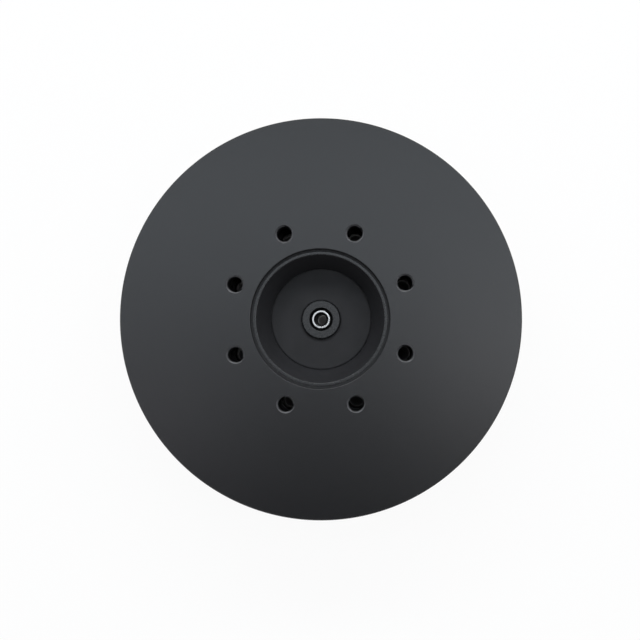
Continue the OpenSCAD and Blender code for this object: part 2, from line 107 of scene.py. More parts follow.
class Graph:
    """A node tree, with short calls that add and join its nodes."""

    def __init__(self, owner: bpy.types.Material | bpy.types.World) -> None:
        """Starts the node tree of a material or of the room.

        Args:
            owner: What the tree belongs to.
        """
        owner.use_nodes = True
        self.tree = owner.node_tree
        self.shader = self.tree.nodes.get("Principled BSDF") or self.tree.nodes["Background"]
        self.places = self.add("ShaderNodeTexCoord").outputs
        self.place = self.places["Object"]

    def add(self, kind: str, inputs: Mapping[Any, Any] | None = None, **options: Any) -> bpy.types.Node:
        """Adds one node.

        Args:
            kind: The node's type.
            inputs: A value or a socket to link, for each input by name or number.
            options: The node's own settings.

        Returns:
            The new node.
        """
        node = self.tree.nodes.new(kind)
        for key, value in options.items():
            setattr(node, key, value)
        for key, value in (inputs or {}).items():
            if isinstance(value, Socket):
                self.tree.links.new(value, node.inputs[key])
            else:
                node.inputs[key].default_value = value
        return node

    def feed(self, name: str, value: Socket) -> None:
        """Joins a pattern to one of the shader's inputs."""
        self.tree.links.new(value, self.shader.inputs[name])

    def noise(self, size: float, detail: float = 2.0, stretch: Triple | None = None) -> Socket:
        """Soft random pattern from 0 to 1.

        Args:
            size: Size of its features in millimetres.
            detail: Octaves of finer noise on top.
            stretch: How much to scale the pattern along each axis first.

        Returns:
            The pattern's output.
        """
        place = self.place
        if stretch is not None:
            place = self.add("ShaderNodeMapping", {"Vector": place, "Scale": stretch}).outputs[0]
        inputs = {"Vector": place, "Scale": 1 / (size * MM), "Detail": detail}
        return self.add("ShaderNodeTexNoise", inputs).outputs[0]

    def wave(self, pitch: float, direction: str, rings: bool = True) -> Socket:
        """Regular lines or rings from 0 to 1, such as a lathe leaves.

        Args:
            pitch: Distance between two lines in millimetres.
            direction: Axis that the rings go round, or that the bands follow.
            rings: Rings round the axis, or else bands along it.

        Returns:
            The pattern's output.
        """
        radians_per_unit = 20.0
        options = {"wave_type": "RINGS", "rings_direction": direction}
        if not rings:
            options = {"wave_type": "BANDS", "bands_direction": direction}
        scale = math.tau / radians_per_unit / (pitch * MM)
        inputs = {"Vector": self.place, "Scale": scale, "Distortion": 0.0}
        return self.add("ShaderNodeTexWave", inputs, **options).outputs[1]

    def span(
        self, value: Socket, low: float | Socket, high: float, start: float = 0.3, end: float = 0.7
    ) -> Socket:
        """Stretches a pattern, so that its values from start to end become those from low to high."""
        return self.add("ShaderNodeMapRange", {0: value, 1: start, 2: end, 3: low, 4: high}).outputs[0]

    def blend(self, share: Socket, first: Colour | Socket, second: Colour | Socket) -> Socket:
        """Mixes two colours by a pattern.

        Args:
            share: Pattern that is 0 at the first colour and 1 at the second.
            first: First colour.
            second: Second colour.

        Returns:
            The mixed colour.
        """
        inputs = {0: share}
        for key, colour in ((6, first), (7, second)):
            inputs[key] = colour if isinstance(colour, Socket) else (*colour, 1.0)
        return self.add("ShaderNodeMix", inputs, data_type="RGBA").outputs[2]

    def maths(self, operation: str, first: Socket | float, second: Socket | float) -> Socket:
        """Joins two patterns or numbers by a sum, which has its name in Blender."""
        return self.add("ShaderNodeMath", {0: first, 1: second}, operation=operation).outputs[0]


@dataclass(frozen=True)
class Finish:
    """A surface's material and how it was worked: the plain case, an even fine grain.

    name: The material's name.
    colour: Its middle colour.
    roughness: Its middle roughness.
    metallic: 1 on bare metal.
    ior: Index of refraction, which sets the gloss of what isn't bare metal.
    coat: Weight of a clear film on top.
    grain: Size of the fine grain in millimetres.
    depth: Depth of the fine grain in millimetres.
    patch: Size of the slow drift of colour in millimetres.
    tone: Share by which the colour drifts.
    drift: How far the roughness drifts.
    """

    name: str
    colour: Colour
    roughness: float
    metallic: float = 0.0
    ior: float = 1.5
    coat: float = 0.0
    grain: float = 0.15
    depth: float = 0.002
    patch: float = 7.0
    tone: float = 0.12
    drift: float = 0.04

    def tint(self, graph: Graph) -> Socket:
        """Gives the colour's pattern.

        Args:
            graph: The material's node tree.

        Returns:
            The colour.
        """
        slow = graph.span(graph.noise(self.patch), 0.0, 1.0)
        darker = tuple(value * (1 - self.tone) for value in self.colour)
        lighter = tuple(min(1.0, value * (1 + self.tone)) for value in self.colour)
        return graph.blend(slow, darker, lighter)

    def gloss(self, graph: Graph) -> Socket:
        """Gives the roughness's pattern."""
        low, high = self.roughness - self.drift, self.roughness + self.drift
        return graph.span(graph.noise(self.patch / 3), low, high)

    def relief(self, graph: Graph) -> Socket:
        """Gives the height's pattern, from 0 to 1 of the depth."""
        return graph.noise(self.grain, 3.0)

    def material(self) -> bpy.types.Material:
        """Makes the material once, and gives it again after that.

        Returns:
            The material.
        """
        made = bpy.data.materials.get(self.name)
        if made is not None:
            return made
        made = bpy.data.materials.new(self.name)
        graph = Graph(made)
        for key, value in (
            ("Metallic", self.metallic),
            ("IOR", self.ior),
            ("Coat Weight", self.coat),
            ("Coat Roughness", 0.12),
        ):
            graph.shader.inputs[key].default_value = value
        graph.feed("Base Color", self.tint(graph))
        graph.feed("Roughness", self.gloss(graph))
        bump = {"Strength": 1.0, "Distance": self.depth * MM, "Height": self.relief(graph)}
        graph.feed("Normal", graph.add("ShaderNodeBump", bump).outputs[0])
        return made


@dataclass(frozen=True)
class Turned(Finish):
    """A lathe-cut surface: fine rings round the shaft axis.

    pitch: Distance between the tool's marks in millimetres.
    """

    pitch: float = 0.12

    def relief(self, graph: Graph) -> Socket:
        """Gives rings of uneven depth with a little grain between them.

        Args:
            graph: The material's node tree.

        Returns:
            The height.
        """
        uneven = graph.span(graph.noise(self.pitch * 5), 0.35, 1.0)
        rings = graph.maths("MULTIPLY", graph.wave(self.pitch, "Z"), uneven)
        return graph.maths("ADD", rings, graph.noise(self.grain))


@dataclass(frozen=True)
class Laminated(Finish):
    """A stack of stamped sheets: oxide-blue faces with a dark seam between neighbours.

    sheet: Thickness of one sheet in millimetres.
    seam: Colour of the seams.
    """

    sheet: float = 0.35
    seam: Colour = (0.01, 0.01, 0.012)

    def tint(self, graph: Graph) -> Socket:
        """Gives the sheets' colour with the seams drawn in."""
        seams = graph.span(graph.wave(self.sheet, "Z", rings=False), 1.0, 0.0, 0.02, 0.3)
        return graph.blend(seams, super().tint(graph), self.seam)

    def relief(self, graph: Graph) -> Socket:
        """Gives the sheets' edges as low steps."""
        sheets = graph.span(graph.wave(self.sheet, "Z", rings=False), 0.0, 1.0, 0.0, 0.35)
        return graph.maths("ADD", sheets, graph.noise(self.grain))


@dataclass(frozen=True)
class Plated(Finish):
    """Barrel-plated nickel: soft cells, a few scuffs and dull spots.

    cell: Size of the plating's cells in millimetres.
    """

    cell: float = 0.6

    def relief(self, graph: Graph) -> Socket:
        """Gives rounded cells with grain.

        Args:
            graph: The material's node tree.

        Returns:
            The height.
        """
        cells = {"Vector": graph.place, "Scale": 1 / (self.cell * MM)}
        soft = graph.add("ShaderNodeTexVoronoi", cells, feature="SMOOTH_F1").outputs[0]
        return graph.maths("ADD", soft, graph.noise(self.grain))


@dataclass(frozen=True)
class Fibred(Finish):
    """Pressed board: short fibres lying in the sheet, and darker flecks.

    fleck: Colour of the flecks.
    """

    fleck: Colour = (0.45, 0.38, 0.24)

    def tint(self, graph: Graph) -> Socket:
        """Gives the board's colour with its flecks."""
        flecks = graph.span(graph.noise(self.grain * 4, 3.0), 0.0, 0.7, 0.56, 0.72)
        return graph.blend(flecks, super().tint(graph), self.fleck)

    def relief(self, graph: Graph) -> Socket:
        """Gives crossing fibres, long one way and fine the other."""
        ways = ((1.0, 0.12, 1.0), (0.12, 1.0, 1.0))
        return graph.maths("ADD", *(graph.noise(self.grain, stretch=way) for way in ways))


BLASTED = Finish(
    "blasted_anodise", (0.0075, 0.0075, 0.008), 0.27, ior=1.46, grain=0.09, depth=0.0016, patch=30.0,
    tone=0.01, drift=0.003,
)
CUT = Turned(
    "turned_anodise", (0.0225, 0.0225, 0.0238), 0.6, ior=1.25, grain=0.06, depth=0.0018, patch=5.0,
    tone=0.08, drift=0.03, pitch=0.16,
)
BORED = Turned(
    "bored_anodise", (0.023, 0.023, 0.025), 0.5, ior=1.38, grain=0.06, depth=0.0018, patch=5.0,
    tone=0.08, drift=0.03, pitch=0.2,
)
FACED = Turned(
    "faced_anodise", (0.0078, 0.008, 0.0085), 0.27, ior=1.46, grain=0.06, depth=0.0014, patch=5.0,
    tone=0.08, drift=0.02,
)
TAPPED = Finish(
    "tapped_anodise", (0.065, 0.065, 0.068), 0.4, ior=1.4, grain=0.12, depth=0.003, patch=1.5, tone=0.2,
)
# Near-black anodise for the bell's bore and the holes' deeper threads: painted shade of those narrow, deep
# places.
SHADE_ANODISE = Finish("painted_shade_anodise", (0.006, 0.006, 0.0064), 0.7, ior=1.25, grain=0.12, patch=1.5)
GROUND = Turned(
    "ground_steel", (0.46, 0.46, 0.455), 0.28, metallic=1.0, grain=0.04, depth=0.0009, patch=1.2,
    tone=0.05, drift=0.05, pitch=0.05,
)
# The shaft's bore: rougher drilled steel, darkened further as painted shade of the narrow bore.
DRILLED_AND_SHADED = Turned(
    "drilled_steel_painted_shade", (0.11, 0.11, 0.11), 0.6, metallic=1.0, grain=0.05, patch=1.2, tone=0.1, drift=0.05,
    pitch=0.1,
)
# The bore's countersinks: steel painted near-black as shade.
COUNTERSINK_SHADE = replace(DRILLED_AND_SHADED, name="countersink_painted_shade", colour=(0.02, 0.02, 0.02), roughness=0.7)
RACE = Turned(
    "bearing_steel", (0.66, 0.66, 0.66), 0.16, metallic=1.0, grain=0.05, depth=0.0005, patch=2.0,
    tone=0.04, pitch=0.08,
)
SHIELD = Finish(
    "shield_steel", (0.52, 0.52, 0.53), 0.3, metallic=1.0, grain=0.1, depth=0.001, patch=2.0, tone=0.06,
)
ROLLED = Finish(
    "rolled_steel", (0.30, 0.31, 0.33), 0.38, metallic=1.0, grain=0.2, depth=0.003, patch=4.0, tone=0.15,
)
SPRUNG = Finish("spring_steel", (0.38, 0.37, 0.36), 0.26, metallic=1.0, grain=0.1, depth=0.001, patch=1.5)
OXIDED = Finish("black_oxide", (0.035, 0.035, 0.037), 0.36, metallic=0.6, grain=0.08, patch=1.2, tone=0.2)
NICKEL = Plated("nickel_plate", (0.62, 0.61, 0.58), 0.22, metallic=1.0, depth=0.003, patch=3.0, tone=0.08)
SHEETS = Laminated(
    "lamination_stack", (0.075, 0.083, 0.10), 0.42, metallic=0.7, grain=0.2, depth=0.03, patch=3.0, tone=0.25,
)
BOARD = Fibred("insulating_board", (0.72, 0.66, 0.49), 0.62, grain=0.12, depth=0.008, patch=5.0, tone=0.08)
COPPER = Finish(
    "enamelled_wire", (0.60, 0.20, 0.055), 0.24, metallic=0.85, coat=0.7, grain=0.3, depth=0.004, patch=2.2,
    tone=0.16, drift=0.05,
)
RUBBER = Finish("moulded_rubber", (0.018, 0.018, 0.019), 0.62, grain=0.12, depth=0.008, patch=3.0, tone=0.2)
SHRINK = Finish("shrink_sleeve", (0.02, 0.02, 0.022), 0.42, grain=0.5, depth=0.02, patch=2.0, tone=0.15)


@dataclass(frozen=True)
class Corner:
    """One corner of a turned outline.

    r: Distance from the shaft axis.
    z: Height.
    ease: How far back along its edges the corner is rounded.
    """

    r: float
    z: float
    ease: float = 0.0


@dataclass
class SubAssembly:
    """What every sub-assembly's bench work shares: turning, cutting and handing over."""

    def turned(self, outline: Sequence[Corner], steps: int = 192) -> BMesh:
        """Spins a closed outline into a solid.

        Args:
            outline: The outline's corners in order.
            steps: Steps in the full turn.

        Returns:
            The solid.
        """
        bm = bmesh.new()
        verts = [bm.verts.new((corner.r, 0.0, corner.z)) for corner in outline]
        bm.faces.new(verts)
        for vert, corner in zip(verts, outline):
            if corner.ease > 0:
                bmesh.ops.bevel(
                    bm, geom=[vert], offset=corner.ease, offset_type="OFFSET", segments=3, profile=0.5,
                    affect="VERTICES", clamp_overlap=True, material=-1,
                )
        bmesh.ops.delete(bm, geom=bm.faces[:], context="FACES_ONLY")
        bmesh.ops.spin(
            bm, geom=bm.verts[:] + bm.edges[:], cent=ORIGIN, axis=UP, angle=math.tau, steps=steps,
            use_merge=True, use_duplicate=False,
        )
        return self.closed(bm)

    def closed(self, bm: BMesh) -> BMesh:
        """Merges doubles and turns the faces outwards.

        Args:
            bm: A mesh in millimetres.

        Returns:
            The same mesh.
        """
        bmesh.ops.remove_doubles(bm, verts=bm.verts[:], dist=MERGE)
        bmesh.ops.recalc_face_normals(bm, faces=bm.faces[:])
        return bm

    def arc(self, bm: BMesh, start: Vector, centre: Vector, angle: float, steps: int) -> None:
        """Draws an arc of edges in a mesh, from its start round a centre."""
        vert = bm.verts.new(start)
        bmesh.ops.spin(bm, geom=[vert], cent=centre, axis=UP, angle=angle, steps=steps, use_duplicate=False)

    def sunk(self, bm: BMesh, face: BMFace, flare: float, depth: float, open_end: bool = False) -> None:
        """Makes a cutter from its flat mouth: a chamfer first, then a straight shank downwards.

        Args:
            bm: Mesh that holds the mouth, which faces up.
            face: The mouth.
            flare: Width and depth of the chamfer.
            depth: Length of the shank.
            open_end: Leaves the shank's end open.
        """
        copied = bmesh.ops.duplicate(bm, geom=[face])["geom"]
        inner = next(item for item in copied if isinstance(item, BMFace))
        bmesh.ops.inset_region(
            bm, faces=[inner], thickness=flare, depth=0.0, use_boundary=True, use_even_offset=True,
        )
        bmesh.ops.translate(bm, verts=inner.verts[:], vec=(0.0, 0.0, -flare))
        grown = bmesh.ops.extrude_face_region(bm, geom=[inner])["geom"]
        bmesh.ops.delete(bm, geom=[inner], context="FACES_ONLY")
        end_verts = [item for item in grown if isinstance(item, bmesh.types.BMVert)]
        bmesh.ops.translate(bm, verts=end_verts, vec=(0.0, 0.0, -depth))
        if open_end:
            ends = [item for item in grown if isinstance(item, BMFace)]
            bmesh.ops.delete(bm, geom=ends, context="FACES_ONLY")
        bmesh.ops.remove_doubles(bm, verts=bm.verts[:], dist=MERGE)

    def joined(self, bm: BMesh, part: BMesh, place: Matrix) -> None:
        """Adds a copy of one mesh to another.

        Args:
            bm: Mesh that grows.
            part: Mesh that is copied in.
            place: Where the copy goes.
        """
        mesh = bpy.data.meshes.new("part")
        part.to_mesh(mesh)
        mesh.transform(place)
        bm.from_mesh(mesh)
        bpy.data.meshes.remove(mesh)

    def cut(self, bm: BMesh, cutter: BMesh) -> BMesh:
        """Takes a cutter away from a solid.

        Args:
            bm: The solid.
            cutter: What is taken away.

        Returns:
            The cut solid.
        """
        solid, tool = (linked(name, bpy.data.meshes.new(name)) for name in ("solid", "tool"))
        for thing, mesh in ((solid, bm), (tool, cutter)):
            mesh.to_mesh(thing.data)
            mesh.free()
        modifier = solid.modifiers.new("cut", "BOOLEAN")
        modifier.operation = "DIFFERENCE"
        modifier.solver = "EXACT"
        modifier.object = tool
        result = bmesh.new()
        result.from_mesh(evaluated(solid))
        for thing in (solid, tool):
            bpy.data.objects.remove(thing)
        bmesh.ops.remove_doubles(result, verts=result.verts[:], dist=MERGE)
        return result

    def weighted_normals(self, mesh: bpy.types.Mesh) -> list[Vector]:
        """Weights the shading by the size of the faces, so that flats stay flat beside their rounded edges.

        Args:
            mesh: The mesh in millimetres, because the weighting drops faces as small as these are in metres.

        Returns:
            The normal at each face corner.
        """
        thing = linked("weighted", mesh)
        modifier = thing.modifiers.new("weighted", "WEIGHTED_NORMAL")
        modifier.keep_sharp = True
        normals = [corner.vector.copy() for corner in evaluated(thing).corner_normals]
        bpy.data.objects.remove(thing)
        return normals

    def hand_over(
        self, bm: BMesh, name: str, body: Body, slot: Slot, finishes: Sequence[Finish],
        nodes: Sequence[str] = (), crease: float = 38.0, zone: Callable[[BMFace], int] | None = None,
        even: bool = True,
    ) -> None:
        """Makes a finished mesh a piece of the object.

        Args:
            bm: The mesh in millimetres, which is freed.
            name: The piece's name.
            body: The body that it rides on.
            slot: The record's material slot, which is not used.
            finishes: Its finishes.
            nodes: CAD nodes that it stands for.
            crease: Edges sharper than this many degrees stay sharp.
            zone: Gives the number of a face's finish.
            even: Weights the shading by the size of the faces.
        """
        if zone is not None:
            for face in bm.faces:
                face.material_index = zone(face)
        mesh = bpy.data.meshes.new(name)
        bm.to_mesh(mesh)
        bm.free()
        mesh.shade_smooth()
        mesh.set_sharp_from_angle(angle=math.radians(crease))
        normals = self.weighted_normals(mesh) if even else None
        mesh.transform(Matrix.Scale(MM, 4))
        if normals:
            mesh.normals_split_custom_set(normals)
        for finish in finishes:
            mesh.materials.append(finish.material())
        piece = linked(name, mesh)
        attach(piece, body.value)
        if nodes:
            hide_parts(*nodes)
        LOG.info("%s: %d faces, rides on %s", name, len(mesh.polygons), body.value)


@dataclass
class TappedCircle(SubAssembly):
    """A circle of tapped holes, with the thread cut in each.

    mouth_z: Height of the face that the holes open in.
    depth: Depth of the holes.
    starts: Angle of each thread's start as the picture shows it, in degrees.
    downwards: The holes open in a face that looks down.
    circle_d: Diameter of the circle.
    major_d: Diameter of the thread's root.
    minor_d: Diameter of the thread's crest.
    pitch: Height of one turn.
    ease: Chamfer at each mouth.
    unshaded_h: Depth below the mouth within which the thread keeps the tapped finish; further down it is
    painted near-black as shade.
    sunk_share: How far the countersink narrows for each millimetre of depth.
    overlap: How far the ridges reach into the holes' walls.
    overrun: How far the drills run past the holes.
    """

    mouth_z: float
    depth: float
    starts: Sequence[float]
    downwards: bool = False
    circle_d: float = 40.3
    major_d: float = 4.0
    minor_d: float = 3.36
    pitch: float = 0.7
    ease: float = 0.03
    unshaded_h: float = 0.42
    sunk_share: float = 2.0
    overlap: float = 0.015
    overrun: float = 1.0
    steps_per_turn: int = 28
    drill_steps: int = 48

    def angles(self) -> list[float]:
        """Gives each hole's angle round the shaft axis, in degrees."""
        step = 360 / len(self.starts)
        return [step * (index + 0.5) for index in range(len(self.starts))]

    def place(self, angle: float) -> Matrix:
        """Gives a hole's place, opening upwards unless it faces down.

        Args:
            angle: Its angle round the shaft axis, in degrees.

        Returns:
            The place.
        """
        away = Matrix.Translation((self.circle_d / 2, 0.0, self.mouth_z))
        turn = Matrix.Rotation(math.radians(angle), 4, "Z")
        flip = Matrix.Rotation(math.pi, 4, "X") if self.downwards else Matrix.Identity(4)
        return turn @ away @ flip

    def cutters(self) -> BMesh:
        """Makes the drills of all holes.

        Returns:
            The drills.
        """
        drill = bmesh.new()
        bmesh.ops.create_circle(
            drill, cap_ends=True, segments=self.drill_steps, radius=self.major_d / 2 + 2 * self.ease,
            matrix=Matrix.Translation((0.0, 0.0, self.ease)),
        )
        drill.faces.ensure_lookup_table()
        self.sunk(drill, drill.faces[0], 2 * self.ease, self.depth + self.overrun)
        self.closed(drill)
        bm = bmesh.new()
        for angle in self.angles():
            self.joined(bm, drill, self.place(angle))
        drill.free()
        return bm

    def thread(self, start: float) -> BMesh:
        """Makes one hole's thread, its mouth at zero, run out into the countersink.

        Args:
            start: Angle at which the first turn begins, in degrees.

        Returns:
            The thread's ridge.
        """
        root_r = self.major_d / 2 + self.overlap
        crest_r = self.minor_d / 2
        root_h = self.pitch * 7 / 16
        crest_h = self.pitch / 8
        lead_in = self.pitch
        bm = bmesh.new()
        section = [(root_r, -root_h), (crest_r, -crest_h), (crest_r, crest_h), (root_r, root_h)]
        face = bm.faces.new([bm.verts.new((r, 0.0, lead_in + z)) for r, z in section])
        turns = (self.depth + lead_in - self.pitch / 2) / self.pitch
        steps = int(turns * self.steps_per_turn)
        bmesh.ops.spin(
            bm, geom=[face] + face.edges[:] + face.verts[:], cent=ORIGIN, axis=UP,
            dvec=(0.0, 0.0, -self.pitch / self.steps_per_turn), angle=-math.tau * steps / self.steps_per_turn,
            steps=steps, use_merge=False, use_duplicate=False,
        )
        bmesh.ops.rotate(bm, verts=bm.verts[:], matrix=Matrix.Rotation(math.radians(start), 3, "Z"))
        inside = 0.01
        mouth_r = self.major_d / 2 + 2 * inside
        for vert in bm.verts:
            vert.co.z = max(min(vert.co.z, -inside), inside - self.depth)
            radius = vert.co.xy.length
            countersink_r = mouth_r + self.sunk_share * vert.co.z
            if radius < countersink_r:
                vert.co.xy *= countersink_r / radius
        return self.closed(bm)

    def tap(self, name: str, body: Body, slot: Slot) -> None:
        """Cuts the threads of all holes and hands them over.

        Args:
            name: The piece's name.
            body: The body that it rides on.
            slot: The record's material slot.
        """
        bm = bmesh.new()
        for angle, start in zip(self.angles(), self.starts):
            ridge = self.thread(start - angle)
            self.joined(bm, ridge, self.place(angle))
            ridge.free()
        # Threads deep in the holes are painted near-black as shade; only those near the mouth keep the tapped
        # finish.
        self.hand_over(
            bm, name, body, slot, (TAPPED, SHADE_ANODISE), even=False,
            zone=lambda face: int(abs(face.calc_center_median().z - self.mouth_z) > self.unshaded_h),
        )


@dataclass
class RotorBell(SubAssembly):
    """The turned aluminium bell: face plate, skirt, hub ring, cup and boss.

    The cup's wall tapers to its floor, where a turned groove runs round its foot.
    """

    outer_r: float = 44.0
    skirt_z: float = 6.6
    face_z: float = 27.5
    face_chamfer: float = 0.2
    skirt_ease: float = 0.3
    pilot_r: float = 15.27
    pilot_ease: float = 0.2
    relief_w: float = 0.5
    relief_h: float = 0.1
    ledge_z: float = 26.7
    rim_r: float = 14.05
    floor_r: float = 11.35
    floor_z: float = 19.5
    groove_w: float = 0.3
    groove_h: float = 0.5
    boss_r: float = 4.45
    boss_z: float = 20.3
    boss_chamfer: float = 0.33
    boss_unshaded_h: float = 0.12
    boss_foot_h: float = 0.1
    bore_r: float = 2.6
    bore_z: float = 18.3
    seat_r: float = 2.01
    hub_r: float = 24.3
    hub_z: float = 20.5
    plate_z: float = 23.5
    magnet_seat_r: float = 41.05
    magnet_seat_z: float = 21.0
    skirt_inner_r: float = 42.7
    collar_r: float = 2.8
    collar_z: float = 14.5
    neck_r: float = 4.35
    neck_z: float = 14.9
    cup_base_r: float = 12.6
    cup_base_z: float = 16.5
    cup_side_r: float = 14.07
    starts: tuple[float, ...] = (-50.0, 5.0, 50.0, -70.0, -55.0, -35.0, 0.0, 75.0)

    def outline(self) -> list[Corner]:
        """Gives the bell's section, from the skirt's lower edge over the face and down the cup.

        Returns:
            The corners in order.
        """
        groove_r = self.floor_r - self.groove_w
        groove_z = self.floor_z - self.groove_h
        relief_r = self.pilot_r - self.relief_w
        relief_z = self.ledge_z - self.relief_h
        return [
            Corner(self.outer_r, self.skirt_z, self.skirt_ease),
            Corner(self.outer_r, self.face_z - self.face_chamfer),
            Corner(self.outer_r - self.face_chamfer, self.face_z),
            Corner(self.pilot_r, self.face_z, self.pilot_ease),
            Corner(self.pilot_r, relief_z),
            Corner(relief_r, relief_z),
            Corner(relief_r, self.ledge_z, 0.06),
            Corner(self.rim_r, self.ledge_z, 0.16),
            Corner(self.floor_r, self.floor_z, 0.05),
            Corner(self.floor_r, groove_z),
            Corner(groove_r, groove_z),
            Corner(groove_r, self.floor_z, 0.04),
            Corner(self.boss_r, self.floor_z),
            Corner(self.boss_r, self.boss_z - self.boss_chamfer),
            Corner(self.boss_r - self.boss_chamfer, self.boss_z),
            Corner(self.bore_r, self.boss_z, 0.1),
            Corner(self.bore_r, self.bore_z, 0.06),
            Corner(self.seat_r, self.bore_z),
            Corner(self.seat_r, self.collar_z, 0.05),
            Corner(self.collar_r, self.collar_z, 0.05),
            Corner(self.collar_r, self.neck_z),
            Corner(self.neck_r, self.neck_z, 0.05),
            Corner(self.neck_r, self.cup_base_z, 0.2),
            Corner(self.cup_base_r, self.cup_base_z, 0.3),
            Corner(self.cup_side_r, self.hub_z, 0.2),
            Corner(self.hub_r, self.hub_z, 0.2),
            Corner(self.hub_r, self.plate_z, 0.3),
            Corner(self.magnet_seat_r, self.plate_z, 0.2),
            Corner(self.magnet_seat_r, self.magnet_seat_z),
            Corner(self.skirt_inner_r, self.magnet_seat_z),
            Corner(self.skirt_inner_r, self.skirt_z, 0.1),
        ]

    def zone(self, face: BMFace) -> int:
        """Gives a face its finish.

        Args:
            face: A face of the bell.

        Returns:
            0 on the blasted skin, 1 on the cup's floor, 2 on flats, 3 on the cup's wall, 4 in the bore, which
            is painted near-black as its shade.
        """
        centre = face.calc_center_median()
        radius = centre.xy.length
        margin = 0.01
        if radius > self.pilot_r - margin:
            return 0
        # The bore below its mouth takes the near-black painted shade.
        if radius < self.bore_r + margin and centre.z < self.boss_z - self.boss_unshaded_h:
            return 4
        on_boss = self.bore_r < radius < self.boss_r and centre.z > self.floor_z + self.boss_foot_h
        if on_boss or centre.z > self.ledge_z - self.relief_h / 2:
            return 2
        return 3 if self.floor_r < radius < self.rim_r and centre.z > self.floor_z else 1

    def build(self) -> None:
        """Turns, drills, taps and anodises the bell."""
        holes = TappedCircle(self.face_z, self.face_z - self.hub_z, self.starts)
        shell = self.cut(self.turned(self.outline(), steps=256), holes.cutters())
        self.hand_over(
            shell, "rotor_bell_shell", Body.ROTOR, Slot.BELL, (BLASTED, CUT, FACED, BORED, SHADE_ANODISE),
            ("rotor_bell",), zone=self.zone,
        )
        holes.tap("rotor_threads", Body.ROTOR, Slot.BELL)


